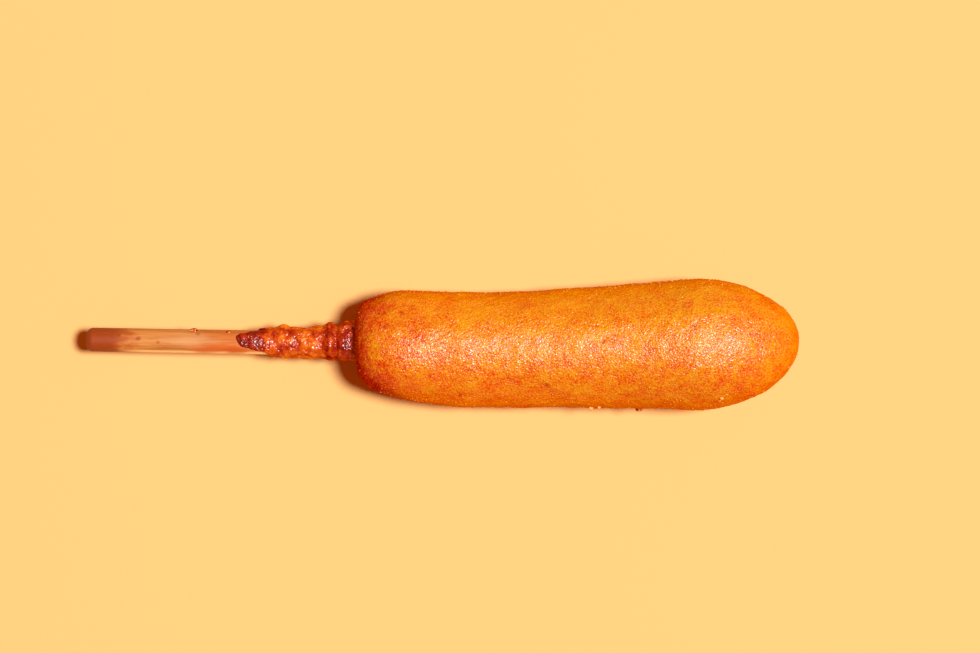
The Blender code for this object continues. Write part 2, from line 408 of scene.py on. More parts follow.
chosen = add_node(
    relief, "ShaderNodeMath", {0: cell_chance.outputs[0], 1: given["Pit share"]}, operation="LESS_THAN"
).outputs[0]
pit = add_node(
    relief, "ShaderNodeMath", {0: hollow.outputs[0], 1: chosen}, operation="MULTIPLY"
).outputs[0]
print("cell layers:", len(cells))

# %% [markdown]
# Some burst bubbles are large enough to know one by one. Each is a round hollow at its own place
# on the upper side: X, Y and radius in millimetres.

# %% The large burst bubbles
BURST_BUBBLES = (
    (-10.4, 8.4, 0.9), (-17.2, -11.0, 1.0), (42.4, 0.8, 0.8), (66.0, 5.1, 0.9),
    (27.6, -10.8, 1.1), (4.8, -13.4, 0.8), (-15.0, 5.0, 0.7), (75.5, -5.5, 0.9),
)
UPPER_SIDE_LEVEL = 17 * MM
flat_place = add_node(relief, "ShaderNodeVectorMath", {0: place, 1: (1, 1, 0)}, operation="MULTIPLY")
axes = add_node(relief, "ShaderNodeSeparateXYZ", {0: place}).outputs
upper_side = add_node(
    relief, "ShaderNodeMath", {0: axes["Z"], 1: UPPER_SIDE_LEVEL}, operation="GREATER_THAN"
).outputs[0]
for x, y, radius in BURST_BUBBLES:
    away = add_node(
        relief, "ShaderNodeVectorMath", {0: flat_place.outputs[0], 1: (x * MM, y * MM, 0)},
        operation="DISTANCE",
    )
    bubble = add_node(
        relief, "ShaderNodeMapRange",
        {"Value": away.outputs["Value"], "From Max": radius * MM, "To Min": 1.0, "To Max": 0.0},
        interpolation_type="SMOOTHSTEP",
    )
    bubble = add_node(
        relief, "ShaderNodeMath", {0: bubble.outputs[0], 1: upper_side}, operation="MULTIPLY"
    ).outputs[0]
    pit = add_node(relief, "ShaderNodeMath", {0: pit, 1: bubble}, operation="MAXIMUM").outputs[0]
pit_drop = add_node(
    relief, "ShaderNodeMath", {0: pit, 1: given["Pit depth"]}, operation="MULTIPLY"
).outputs[0]
heights.append(add_node(
    relief, "ShaderNodeMath", {0: pit_drop, 1: -1.0}, operation="MULTIPLY"
).outputs[0])
print("large burst bubbles:", len(BURST_BUBBLES))

# %% [markdown]
# The collar has one thing more: thin folds that run round the stick, where the batter slid and set.
# They are a noise that changes quickly along X and slowly across it, with its middle value turned
# into a crest.

# %% Folds across the stick
FOLD_STRETCH = (1.0, 0.32, 0.32)
CREST_HALF_WIDTH = 0.16
VALLEY_DEPTH = 0.35
fold_scale = add_node(
    relief, "ShaderNodeMath", {0: 1.0, 1: given["Fold spacing"]}, operation="DIVIDE"
).outputs[0]
fold_place = add_node(
    relief, "ShaderNodeVectorMath", {0: place, 1: FOLD_STRETCH}, operation="MULTIPLY"
)
fold_noise = add_node(
    relief,
    "ShaderNodeTexNoise",
    {"Vector": fold_place.outputs[0], "W": given["Seed"], "Scale": fold_scale, "Detail": 1.0},
    noise_dimensions="4D",
)
fold_middle = add_node(
    relief, "ShaderNodeMath", {0: fold_noise.outputs[0], 1: 0.5}, operation="SUBTRACT"
).outputs[0]
fold_away = add_node(relief, "ShaderNodeMath", {0: fold_middle}, operation="ABSOLUTE").outputs[0]
fold = add_node(
    relief, "ShaderNodeMapRange",
    {"Value": fold_away, "From Max": CREST_HALF_WIDTH, "To Min": 1.0, "To Max": -VALLEY_DEPTH},
    interpolation_type="SMOOTHSTEP",
)
heights.append(add_node(
    relief, "ShaderNodeMath", {0: fold.outputs[0], 1: given["Fold height"]}, operation="MULTIPLY"
).outputs[0])
print("layers with the folds:", len(heights))

# %% [markdown]
# Four of these crests are large enough to know one by one. Each is a ring round the stick at its
# own place along X, with a width and a height in millimetres, and the fold noise bends it. The
# rings are kept apart from the other layers, because they are no paler than what lies beside them.

# %% The large rings
RINGS = ((-45.7, 0.9, 0.2), (-39.6, 1.6, 0.18), (-29.7, 1.7, 0.32), (-25.0, 1.3, 0.08))
RING_BEND = 6.0 * MM
bent = add_node(
    relief, "ShaderNodeMath", {0: fold_middle, 1: RING_BEND}, operation="MULTIPLY"
).outputs[0]
ring_place = add_node(relief, "ShaderNodeMath", {0: axes["X"], 1: bent}, operation="ADD").outputs[0]
rings = []
for x, width, ring_height in RINGS:
    from_ring = add_node(
        relief, "ShaderNodeMath", {0: ring_place, 1: x * MM}, operation="SUBTRACT"
    ).outputs[0]
    away = add_node(relief, "ShaderNodeMath", {0: from_ring}, operation="ABSOLUTE").outputs[0]
    ring = add_node(
        relief, "ShaderNodeMapRange",
        {"Value": away, "From Max": width * MM, "To Min": ring_height * MM, "To Max": 0.0},
        interpolation_type="SMOOTHSTEP",
    )
    rings.append(add_node(
        relief, "ShaderNodeMath", {0: ring.outputs[0], 1: given["Ring share"]}, operation="MULTIPLY"
    ).outputs[0])
print("all layers:", len(heights) + len(rings))

# %% [markdown]
# The layers are added up. Where the crust meets the table it was pressed flat, so the relief
# fades out there and no point goes below the table. The layers are stored on the points before
# the move, because a field is worked out again from the new places after it. The height is
# stored in millimetres.

# %% Store the layers and lift the surface
PRESSED_LEVEL = 1.2 * MM
total = heights[0]
for height in heights[1:]:
    total = add_node(relief, "ShaderNodeMath", {0: total, 1: height}, operation="ADD").outputs[0]
in_mm = add_node(relief, "ShaderNodeMath", {0: total, 1: 1 / MM}, operation="MULTIPLY").outputs[0]
for ring in rings:
    total = add_node(relief, "ShaderNodeMath", {0: total, 1: ring}, operation="ADD").outputs[0]
shape = given["Geometry"]
for name, value in (("height", in_mm), ("pit", pit)):
    shape = add_node(
        relief, "GeometryNodeStoreNamedAttribute",
        {"Geometry": shape, "Name": name, "Value": value},
        data_type="FLOAT", domain="POINT",
    ).outputs[0]
free = add_node(
    relief, "ShaderNodeMapRange", {"Value": axes["Z"], "From Max": PRESSED_LEVEL},
    interpolation_type="SMOOTHSTEP",
)
lifted = add_node(
    relief, "ShaderNodeMath", {0: total, 1: free.outputs[0]}, operation="MULTIPLY"
).outputs[0]
normal = add_node(relief, "GeometryNodeInputNormal").outputs[0]
offset = add_node(relief, "ShaderNodeVectorMath", {0: normal, "Scale": lifted}, operation="SCALE")
shape = add_node(
    relief, "GeometryNodeSetPosition", {"Geometry": shape, "Offset": offset.outputs[0]}
).outputs[0]
print("stored attributes: height, pit")

# %% Keep clear of the table and finish the tree
TABLE_GAP = 0.01 * MM
clear_level = add_node(
    relief, "ShaderNodeMath", {0: axes["Z"], 1: TABLE_GAP}, operation="MAXIMUM"
).outputs[0]
clear_place = add_node(
    relief, "ShaderNodeCombineXYZ", {"X": axes["X"], "Y": axes["Y"], "Z": clear_level}
)
shape = add_node(
    relief, "GeometryNodeSetPosition", {"Geometry": shape, "Position": clear_place.outputs[0]}
)
close_tree(relief, shape.outputs[0], given["Material"])
print("nodes in the relief tree:", len(relief.nodes))

# %% [markdown]
# ## Fried cornmeal batter
# The crust is cornmeal batter fried in oil. Frying browns the sugars, so the skin runs from
# yellow-orange through a strong orange to a deep red-brown, with almost no blue in it. One number, the
# tone, says how dark each spot is: 0 is darkest and 1 is palest. It is a noise of patches, shifted
# along the axes and at a few spots of their own. It is darker towards the end by the stick, partly from
# browning and partly as painted shade on the end that faces away from the light. It is lowered in the
# hollows of the relief and in the pores, which is painted shade, and raised on their tops, which is
# painted light. The flanks and the underside get a painted fill light: a brighter, clearer orange is
# mixed into them below the back.
#
# The dry crust itself is matt. What shines is a film of cooking oil, a clear coat over the crust.
# Oil has an IOR of 1.47, and 1.6 matches the strength of the glints. The pores give each bead of
# batter its own small glint: real ones are finer than a photograph shows, and here they are drawn
# as coarse as they need to be to show. On steep sides the film would mirror the table and turn the
# crust grey, which thin oil on a rough crust doesn't do, so it fades out there.

# %% What all crusts share
CRUST_ROUGHNESS = 0.55
OIL_IOR = 1.6
OIL_FADE = (0.2, 0.52)
OILY_SPOT_SIZE = 5 * MM
OILY_SPOT_RANGE = (0.35, 0.62)
LEAST_OIL = 0.62
# Painted shading: the tone drops where the relief or the pores lie low and rises where they stand high.
PAINTED_RELIEF_SHADING_RANGE = (-0.15, 0.25)
PAINTED_PORE_SHADING_RANGE = (0.32, 0.68)
SPOT_WANDER_SIZE = 2.5 * MM
SPOT_WANDER_REACH = 5 * MM
SPOT_RANGE = (1.25, 0.5)
PIT_SHARE = 0.6
# Painted fill light: a brighter, clearer orange is mixed into the flanks and the underside. It is full
# below 18 mm, absent above 30 mm, and starts only from X -18 mm on.
PAINTED_FILL_COLOUR = "#F78A03"
PAINTED_FILL_LEVELS = (30 * MM, 18 * MM)
PAINTED_FILL_START = (-18 * MM, -6 * MM)
print("the oil fades from", OIL_FADE[0], "to", OIL_FADE[1], "of the turn away from the eye")


# %% A crust material
def crust_material(
    name, tones, patch_size, patch_share, shifts, spots, painted_relief_shading, painted_pore_shading, pit_colour,
    wetness, bump_size, bump_slope, oil_roughness, painted_fill_share,
):
    """Fried batter: a tone from patches and shifts, painted shading from the relief and the pores,
    darker pits and a painted fill on the flanks, under a film of oil.
    """
    material = bpy.data.materials.new(name)
    material.use_nodes = True
    tree = material.node_tree
    shader = tree.nodes["Principled BSDF"]
    place = add_node(tree, "ShaderNodeTexCoord").outputs["Object"]
    axes = add_node(tree, "ShaderNodeSeparateXYZ", {0: place}).outputs
    patches = add_node(
        tree, "ShaderNodeTexNoise",
        {"Vector": place, "Scale": 1 / patch_size, "Detail": 5.0, "Roughness": 0.66},
    ).outputs[0]
    tone = add_node(
        tree, "ShaderNodeMapRange",
        {"Value": patches, "To Min": 0.5 - patch_share / 2, "To Max": 0.5 + patch_share / 2},
    ).outputs[0]
    height = add_node(tree, "ShaderNodeAttribute", attribute_name="height").outputs["Fac"]
    pores = add_node(
        tree, "ShaderNodeTexNoise",
        {"Vector": place, "Scale": 1 / bump_size, "Detail": 0.3, "Distortion": 0.6},
        label="pores",
    ).outputs[0]
    amounts = []
    # Painted shade in the hollows of the relief and in the pores, and painted light on their tops.
    for value, (low, high), amount in (
        (height, PAINTED_RELIEF_SHADING_RANGE, painted_relief_shading), (pores, PAINTED_PORE_SHADING_RANGE, painted_pore_shading)
    ):
        amounts.append(add_node(
            tree, "ShaderNodeMapRange",
            {"Value": value, "From Min": low, "From Max": high, "To Min": -amount, "To Max": amount},
        ))
    for axis, start, end, amount in shifts:
        amounts.append(add_node(
            tree, "ShaderNodeMapRange",
            {"Value": axes[axis], "From Min": start * MM, "From Max": end * MM, "To Max": amount},
        ))
    wander = add_node(
        tree, "ShaderNodeTexNoise", {"Vector": place, "Scale": 1 / SPOT_WANDER_SIZE, "Detail": 2.0}
    ).outputs["Color"]
    wander = add_node(
        tree, "ShaderNodeVectorMath", {0: wander, 1: (0.5, 0.5, 0.5)}, operation="SUBTRACT"
    )
    wander = add_node(
        tree, "ShaderNodeVectorMath", {0: wander.outputs[0], "Scale": SPOT_WANDER_REACH},
        operation="SCALE",
    )
    wandered = add_node(
        tree, "ShaderNodeVectorMath", {0: place, 1: wander.outputs[0]}, operation="ADD"
    ).outputs[0]
    for x, y, width, length, amount in spots:
        spot = add_node(
            tree, "ShaderNodeVectorMath", {0: wandered, 1: (x * MM, y * MM, 0.0)}, operation="SUBTRACT"
        )
        spot = add_node(
            tree, "ShaderNodeVectorMath",
            {0: spot.outputs[0], 1: (2 / (width * MM), 2 / (length * MM), 0.0)}, operation="MULTIPLY",
        )
        spot = add_node(tree, "ShaderNodeVectorMath", {0: spot.outputs[0]}, operation="LENGTH")
        amounts.append(add_node(
            tree, "ShaderNodeMapRange",
            {"Value": spot.outputs["Value"], "From Min": SPOT_RANGE[0], "From Max": SPOT_RANGE[1],
             "To Max": amount},
            interpolation_type="SMOOTHSTEP",
        ))
    for amount in amounts:
        tone = add_node(
            tree, "ShaderNodeMath", {0: tone, 1: amount.outputs[0]}, operation="ADD"
        ).outputs[0]
    ramp = add_node(tree, "ShaderNodeValToRGB", {"Fac": tone})
    stops = ramp.color_ramp.elements
    while len(stops) < len(tones):
        stops.new(0.5)
    for stop, (position, colour) in zip(stops, tones):
        stop.position = position
        stop.color = linear(colour)
    # Painted fill light: below the back and past the shoulder, a brighter orange is mixed in, so that
    # the flanks look as if more light reached them.
    painted_fill = add_node(
        tree, "ShaderNodeMapRange",
        {"Value": axes["Z"], "From Min": PAINTED_FILL_LEVELS[0], "From Max": PAINTED_FILL_LEVELS[1],
         "To Max": painted_fill_share},
        interpolation_type="SMOOTHSTEP",
    ).outputs[0]
    past_shoulder = add_node(
        tree, "ShaderNodeMapRange",
        {"Value": axes["X"], "From Min": PAINTED_FILL_START[0], "From Max": PAINTED_FILL_START[1]},
    ).outputs[0]
    painted_fill = add_node(
        tree, "ShaderNodeMath", {0: painted_fill, 1: past_shoulder}, operation="MULTIPLY"
    ).outputs[0]
    colour = add_node(
        tree, "ShaderNodeMix", {0: painted_fill, 6: ramp.outputs[0], 7: linear(PAINTED_FILL_COLOUR)},
        data_type="RGBA",
    ).outputs[2]
    pit = add_node(tree, "ShaderNodeAttribute", attribute_name="pit").outputs["Fac"]
    pit_share = add_node(
        tree, "ShaderNodeMath", {0: pit, 1: PIT_SHARE}, operation="MULTIPLY"
    ).outputs[0]
    colour = add_node(
        tree, "ShaderNodeMix", {0: pit_share, 6: colour, 7: linear(pit_colour)},
        data_type="RGBA",
    ).outputs[2]
    tree.links.new(colour, shader.inputs["Base Color"])
    bump = add_node(
        tree, "ShaderNodeBump",
        {"Height": pores, "Distance": bump_slope * bump_size, "Strength": 1.0},
        label="pore relief",
    )
    tree.links.new(bump.outputs[0], shader.inputs["Normal"])
    tree.links.new(bump.outputs[0], shader.inputs["Coat Normal"])
    facing = add_node(tree, "ShaderNodeLayerWeight", {"Blend": 0.5}).outputs["Facing"]
    film = add_node(
        tree, "ShaderNodeMapRange",
        {"Value": facing, "From Min": OIL_FADE[0], "From Max": OIL_FADE[1],
         "To Min": wetness, "To Max": 0.0},
    ).outputs[0]
    oily_spots = add_node(
        tree, "ShaderNodeTexNoise", {"Vector": place, "Scale": 1 / OILY_SPOT_SIZE, "Detail": 3.0}
    ).outputs[0]
    spot_share = add_node(
        tree, "ShaderNodeMapRange",
        {"Value": oily_spots, "From Min": OILY_SPOT_RANGE[0], "From Max": OILY_SPOT_RANGE[1],
         "To Min": LEAST_OIL},
    ).outputs[0]
    film = add_node(
        tree, "ShaderNodeMath", {0: film, 1: spot_share}, operation="MULTIPLY"
    ).outputs[0]
    tree.links.new(film, shader.inputs["Coat Weight"])
    shader.inputs["Coat Roughness"].default_value = oil_roughness
    shader.inputs["Coat IOR"].default_value = OIL_IOR
    shader.inputs["Roughness"].default_value = CRUST_ROUGHNESS
    shader.inputs["Specular IOR Level"].default_value = 0.0
    return material


# %% [markdown]
# The body and its grains share all but their tones. A shift changes the tone from one place to another
# along an axis, in millimetres. A spot has its X and Y, its width and length, and how much it adds to
# the tone.

# %% The crusts of this corn dog
# The first two shifts darken the body towards the end by the stick. This is partly real browning and
# partly painted shade on the end that faces away from the light. The last shift makes the crust darker
# towards -Y.
BODY_SHIFTS = (
    ("X", 12, -14, -0.07), ("X", -14, -22.5, -0.19), ("X", 62, 90, -0.05), ("Y", 2, -15, -0.1),
)
BODY_SPOTS = (
    (-18.5, 10.0, 12.0, 4.0, -0.07), (-16.0, -10.4, 10.0, 5.0, -0.12), (-17.8, -2.0, 4.0, 8.0, 0.12),
    (-5.5, 2.0, 3.0, 2.5, -0.14), (-8.0, 9.5, 2.5, 1.6, -0.12), (64.2, 5.9, 3.4, 1.8, -0.11),
    (59.8, -1.8, 2.0, 1.6, -0.16), (81.5, 3.0, 2.6, 2.0, -0.12), (12.0, -8.0, 6.0, 3.0, -0.08),
)
BODY_CRUST = {
    "patch_size": 4 * MM, "patch_share": 0.56, "shifts": BODY_SHIFTS, "spots": BODY_SPOTS,
    "painted_relief_shading": 0.08, "painted_pore_shading": 0.13, "pit_colour": "#8E1C01", "wetness": 1.0,
    "bump_size": 0.44 * MM, "bump_slope": 0.5, "oil_roughness": 0.3, "painted_fill_share": 0.32,
}
body_material = crust_material(
    "fried_cornmeal_batter",
    tones=(
        (0.12, "#A01C03"), (0.24, "#B63503"), (0.36, "#BE5B05"), (0.5, "#C07A07"), (0.7, "#C68F0D"),
    ),
    **BODY_CRUST,
)
grain_material = crust_material(
    "oily_cornmeal_grain",
    tones=(
        (0.12, "#A62003"), (0.24, "#C23C04"), (0.36, "#C46606"), (0.5, "#C8870E"), (0.7, "#CE9C1A"),
    ),
    **BODY_CRUST,
)
collar_material = crust_material(
    "browned_cornmeal_batter",
    tones=((0.16, "#620701"), (0.36, "#901C03"), (0.56, "#B44606"), (0.78, "#CC7012")),
    patch_size=3 * MM, patch_share=1.0,
    # The shift from X -24.6 to -23.4 is painted light: it pales the collar's end in the crevice, where
    # the body's shoulder shades it.
    shifts=(
        ("X", -46.5, -48.5, -0.3), ("X", -31.2, -30.0, -0.22), ("X", -24.6, -23.4, 0.25),
        ("Y", 3.0, 5.2, 0.2), ("Y", -1.0, -4.2, 0.16),
    ),
    spots=(), painted_relief_shading=0.14, painted_pore_shading=0.07, pit_colour="#460401",
    wetness=0.9, bump_size=0.62 * MM, bump_slope=0.46, oil_roughness=0.28, painted_fill_share=0.0,
)
PALE_CRUMBS = ((39.5, -17.3, 9.0, 9.0, 0.24), (73.8, -13.4, 8.0, 8.0, 0.14))
crumb_material = crust_material(
    "toasted_batter_crumb",
    tones=((0.3, "#6E1C04"), (0.5, "#AE480C"), (0.7, "#E0984A")),
    patch_size=1.5 * MM, patch_share=1.0, shifts=(), spots=PALE_CRUMBS,
    painted_relief_shading=0.0, painted_pore_shading=0.15, pit_colour="#7A1E04",
    wetness=0.6, bump_size=0.5 * MM, bump_slope=0.5, oil_roughness=0.3, painted_fill_share=0.0,
)
CRUSTS = (body_material, grain_material, collar_material, crumb_material)
print("crust materials:", ", ".join(material.name for material in CRUSTS))


# %% Dress a form with the relief
def give_inputs(modifier, values):
    """Set a node modifier's inputs, named as in its tree, by each socket's identifier."""
    for socket in modifier.node_group.interface.items_tree:
        if socket.in_out == "INPUT" and socket.name in values:
            modifier[socket.identifier] = values[socket.name]


def made_plain(obj, name):
    """Turn an object's evaluated form into its own plain mesh, and drop its modifiers."""
    evaluated = obj.evaluated_get(bpy.context.evaluated_depsgraph_get())
    mesh = bpy.data.meshes.new_from_object(evaluated)
    mesh.name = name
    obj.modifiers.clear()
    obj.data = mesh
    print(name, "has", sum(len(face.vertices) - 2 for face in mesh.polygons), "triangles")


def dressed(name, form, voxel, smoothing, sizes):
    """Rebuild a form from even squares, smooth it, and lift its surface with the relief tree."""
    obj = bpy.data.objects.new(name, form)
    bpy.context.scene.collection.objects.link(obj)
    remesh = obj.modifiers.new("even_squares", "REMESH")
    remesh.mode = "VOXEL"
    remesh.voxel_size = voxel
    smooth = obj.modifiers.new("no_flats", "SMOOTH")
    smooth.factor = 0.5
    smooth.iterations = smoothing
    lift = obj.modifiers.new("relief", "NODES")
    lift.node_group = relief
    give_inputs(lift, sizes)
    made_plain(obj, name)
    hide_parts("batter")
    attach(obj, "root")
    return obj


body_crust = dressed(
    "body_crust", body_mesh, voxel=0.42 * MM, smoothing=14,
    sizes={
        "Lump size": 7 * MM, "Lump height": 0.10 * MM,
        "Blister size": 2.8 * MM, "Blister height": 0.07 * MM,
        "Bead size": 1.35 * MM, "Bead height": 0.10 * MM,
        "Grit size": 0.6 * MM, "Grit height": 0.08 * MM,
        "Pit spacing": 6.5 * MM, "Pit radius": 0.7 * MM, "Pit depth": 0.22 * MM, "Pit share": 0.28,
        "Fold spacing": 4 * MM, "Fold height": 0.0, "Ring share": 0.0, "Seed": 4.0,
        "Material": body_material,
    },
)

# %% The collar's crust
dressed(
    "collar_crust", collar_mesh, voxel=0.17 * MM, smoothing=5,
    sizes={
        "Lump size": 3.2 * MM, "Lump height": 0.24 * MM,
        "Blister size": 1.5 * MM, "Blister height": 0.12 * MM,
        "Bead size": 0.8 * MM, "Bead height": 0.06 * MM,
        "Grit size": 0.5 * MM, "Grit height": 0.04 * MM,
        "Pit spacing": 2.4 * MM, "Pit radius": 0.5 * MM, "Pit depth": 0.15 * MM, "Pit share": 0.3,
        "Fold spacing": 2.9 * MM, "Fold height": 0.09 * MM, "Ring share": 1.0, "Seed": 9.0,
        "Material": collar_material,
    },
)

# %% [markdown]
# ## Grains on the crust
# Coarse cornmeal grains stand out of the crust all over. They are scattered on the finished body
# by a tree: points with a least distance between them, on each a small irregular grain with 20
# faces, sunk to about its middle.

# %% The scatter tree
scatter = bpy.data.node_groups.new("scattered_grains", "GeometryNodeTree")
scatter.interface.new_socket("Geometry", in_out="INPUT", socket_type="NodeSocketGeometry")
scatter.interface.new_socket("Geometry", in_out="OUTPUT", socket_type="NodeSocketGeometry")
for name in ("Spacing", "Density", "Smallest", "Largest", "Lowest level"):
    scatter.interface.new_socket(name, in_out="INPUT", socket_type="NodeSocketFloat")
scatter.interface.new_socket("Seed", in_out="INPUT", socket_type="NodeSocketInt")
scatter.interface.new_socket("Material", in_out="INPUT", socket_type="NodeSocketMaterial")
given = add_node(scatter, "NodeGroupInput").outputs
level = add_node(
    scatter, "ShaderNodeSeparateXYZ",
    {0: add_node(scatter, "GeometryNodeInputPosition").outputs[0]},
).outputs["Z"]
above = add_node(
    scatter, "FunctionNodeCompare", {0: level, 1: given["Lowest level"]}, operation="GREATER_THAN"
).outputs[0]
points = add_node(
    scatter, "GeometryNodeDistributePointsOnFaces",
    {"Mesh": given["Geometry"], "Selection": above, "Distance Min": given["Spacing"],
     "Density Max": given["Density"], "Seed": given["Seed"]},
    distribute_method="POISSON",
)
print("scatter points keep their distance")

# %% One grain on each point
LEAST_STRETCH = (0.7, 0.7, 0.6)
MOST_STRETCH = (1.3, 1.3, 1.0)
STRETCH_SEED = 5
MOST_TURN = 6.28
TURN_SEED = 8
grain = add_node(
    scatter, "GeometryNodeMeshIcoSphere", {"Radius": 1.0, "Subdivisions": 1}
).outputs[0]
size = add_node(
    scatter, "FunctionNodeRandomValue",
    {2: given["Smallest"], 3: given["Largest"], "Seed": given["Seed"]}, data_type="FLOAT",
).outputs[1]
stretch = add_node(
    scatter, "FunctionNodeRandomValue",
    {0: LEAST_STRETCH, 1: MOST_STRETCH, "Seed": STRETCH_SEED}, data_type="FLOAT_VECTOR",
).outputs[0]
scale = add_node(
    scatter, "ShaderNodeVectorMath", {0: stretch, "Scale": size}, operation="SCALE"
).outputs[0]
turn = add_node(
    scatter, "FunctionNodeRandomValue",
    {0: (0.0, 0.0, 0.0), 1: (MOST_TURN,) * 3, "Seed": TURN_SEED}, data_type="FLOAT_VECTOR",
).outputs[0]
shape = add_node(
    scatter, "GeometryNodeInstanceOnPoints",
    {"Points": points.outputs["Points"], "Instance": grain, "Rotation": turn, "Scale": scale},
)
close_tree(scatter, shape.outputs[0], given["Material"])
print("nodes in the scatter tree:", len(scatter.nodes))

# %% Scatter the grains
body_grains = bpy.data.objects.new("body_grains", body_crust.data)
bpy.context.scene.collection.objects.link(body_grains)
spread = body_grains.modifiers.new("scattered", "NODES")
spread.node_group = scatter
give_inputs(spread, {
    "Spacing": 0.7 * MM, "Density": 0.3 / MM**2, "Smallest": 0.08 * MM, "Largest": 0.30 * MM,
    "Lowest level": 1.5 * MM, "Seed": 3, "Material": grain_material,
})
made_plain(body_grains, "body_grains")
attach(body_grains, "root")

# %% [markdown]
# ## The wooden stick
# The stick is a birch dowel, turned round and cut to length. It is soaked with fat: its bare end
# is dark and reddish, and the middle has kept the colour of tanned wood. A tube of rings is
# wrapped by rule: the rings lie closer together near the bare end, which shows, and their radius
# shrinks near the two rounded ends. Fine grooves of the grain are part of the mesh.

# %% The stick's tree
stick_tree = bpy.data.node_groups.new("turned_stick", "GeometryNodeTree")
stick_tree.interface.new_socket("Geometry", in_out="OUTPUT", socket_type="NodeSocketGeometry")
TUBE_SIDES, TUBE_RINGS, CAP_RINGS = 72, 380, 6
RING_CROWDING = 1.5
STICK_SIZES = ("Length", "Radius", "Rounding", "Grain width", "Grain depth", "Seed")
for name in STICK_SIZES:
    stick_tree.interface.new_socket(name, in_out="INPUT", socket_type="NodeSocketFloat")
stick_tree.interface.new_socket("Material", in_out="INPUT", socket_type="NodeSocketMaterial")
given = add_node(stick_tree, "NodeGroupInput").outputs
tube = add_node(
    stick_tree, "GeometryNodeMeshCylinder",
    {"Vertices": TUBE_SIDES, "Side Segments": TUBE_RINGS, "Fill Segments": CAP_RINGS,
     "Radius": 1.0, "Depth": 1.0},
    fill_type="NGON",
)
place = add_node(stick_tree, "GeometryNodeInputPosition").outputs[0]
parts = add_node(stick_tree, "ShaderNodeSeparateXYZ", {0: place})
share = add_node(
    stick_tree, "ShaderNodeMath", {0: parts.outputs["Z"], 1: 0.5}, operation="ADD", use_clamp=True
).outputs[0]
share = add_node(
    stick_tree, "ShaderNodeMath", {0: share, 1: RING_CROWDING}, operation="POWER"
).outputs[0]
along = add_node(
    stick_tree, "ShaderNodeMath", {0: share, 1: given["Length"]}, operation="MULTIPLY"
).outputs[0]
print("stick inputs:", ", ".join(STICK_SIZES))

# %% [markdown]
# Near an end the radius follows a quarter circle: the flat end is as wide as the radius less the
# rounding, and the full radius is reached one rounding away from the end.

# %% Rounded ends
to_far_end = add_node(
    stick_tree, "ShaderNodeMath", {0: given["Length"], 1: along}, operation="SUBTRACT"
).outputs[0]
to_end = add_node(
    stick_tree, "ShaderNodeMath", {0: along, 1: to_far_end}, operation="MINIMUM"
).outputs[0]
short = add_node(
    stick_tree, "ShaderNodeMath", {0: to_end, 1: given["Rounding"]}, operation="DIVIDE", use_clamp=True
).outputs[0]
missing = add_node(
    stick_tree, "ShaderNodeMath", {0: 1.0, 1: short}, operation="SUBTRACT"
).outputs[0]
squared = add_node(stick_tree, "ShaderNodeMath", {0: missing, 1: 2.0}, operation="POWER").outputs[0]
rest = add_node(
    stick_tree, "ShaderNodeMath", {0: 1.0, 1: squared}, operation="SUBTRACT", use_clamp=True
).outputs[0]
arc = add_node(stick_tree, "ShaderNodeMath", {0: rest}, operation="SQRT").outputs[0]
lost = add_node(stick_tree, "ShaderNodeMath", {0: 1.0, 1: arc}, operation="SUBTRACT").outputs[0]
inset = add_node(
    stick_tree, "ShaderNodeMath", {0: lost, 1: given["Rounding"]}, operation="MULTIPLY"
).outputs[0]
radius = add_node(
    stick_tree, "ShaderNodeMath", {0: given["Radius"], 1: inset}, operation="SUBTRACT"
).outputs[0]
print("ends are rounded")

# %% Grain grooves and the finished tube
GROOVE_STRETCH = (1.0, 1.0, 1.4)
GROOVE_RANGE = (0.3, 0.55)
grain_scale = add_node(
    stick_tree, "ShaderNodeMath", {0: given["Radius"], 1: given["Grain width"]}, operation="DIVIDE"
).outputs[0]
grain_place = add_node(
    stick_tree, "ShaderNodeVectorMath", {0: place, 1: GROOVE_STRETCH}, operation="MULTIPLY"
)
grooves = add_node(
    stick_tree, "ShaderNodeTexNoise",
    {"Vector": grain_place.outputs[0], "W": given["Seed"], "Scale": grain_scale, "Detail": 2.0},
    noise_dimensions="4D",
)
depth = add_node(
    stick_tree, "ShaderNodeMapRange",
    {"Value": grooves.outputs[0], "From Min": GROOVE_RANGE[0], "From Max": GROOVE_RANGE[1],
     "To Min": -1.0, "To Max": 0.0},
)
groove = add_node(
    stick_tree, "ShaderNodeMath", {0: depth.outputs[0], 1: given["Grain depth"]}, operation="MULTIPLY"
).outputs[0]
radius = add_node(stick_tree, "ShaderNodeMath", {0: radius, 1: groove}, operation="ADD").outputs[0]
across = add_node(
    stick_tree, "ShaderNodeVectorMath", {0: place, 1: (1.0, 1.0, 0.0)}, operation="MULTIPLY"
)
wide = add_node(
    stick_tree, "ShaderNodeVectorMath", {0: across.outputs[0], "Scale": radius}, operation="SCALE"
)
wide_parts = add_node(stick_tree, "ShaderNodeSeparateXYZ", {0: wide.outputs[0]})
lying = add_node(
    stick_tree, "ShaderNodeCombineXYZ",
    {"X": along, "Y": wide_parts.outputs["Y"], "Z": wide_parts.outputs["X"]},
)
shape = add_node(
    stick_tree, "GeometryNodeSetPosition",
    {"Geometry": tube.outputs["Mesh"], "Position": lying.outputs[0]},
)
close_tree(stick_tree, shape.outputs[0], given["Material"])
print("nodes in the stick tree:", len(stick_tree.nodes))

# %% [markdown]
# Birch has fine, straight fibres. The pattern's own axes run along the stick, from 0 at its bare
# end. The colour is a noise stretched about 17 times along the fibres, from a tan to a darker brown.
# Real fibres are far finer, and are drawn here as coarse as they need to be to show. Fat has
# soaked in from the bare end: there the wood is a dark reddish brown, and a paler half-soaked
# stretch follows, each with a ragged front. Near the batter the wood took up its orange. Oiled
# wood shines a little, and a low specular level matches that.

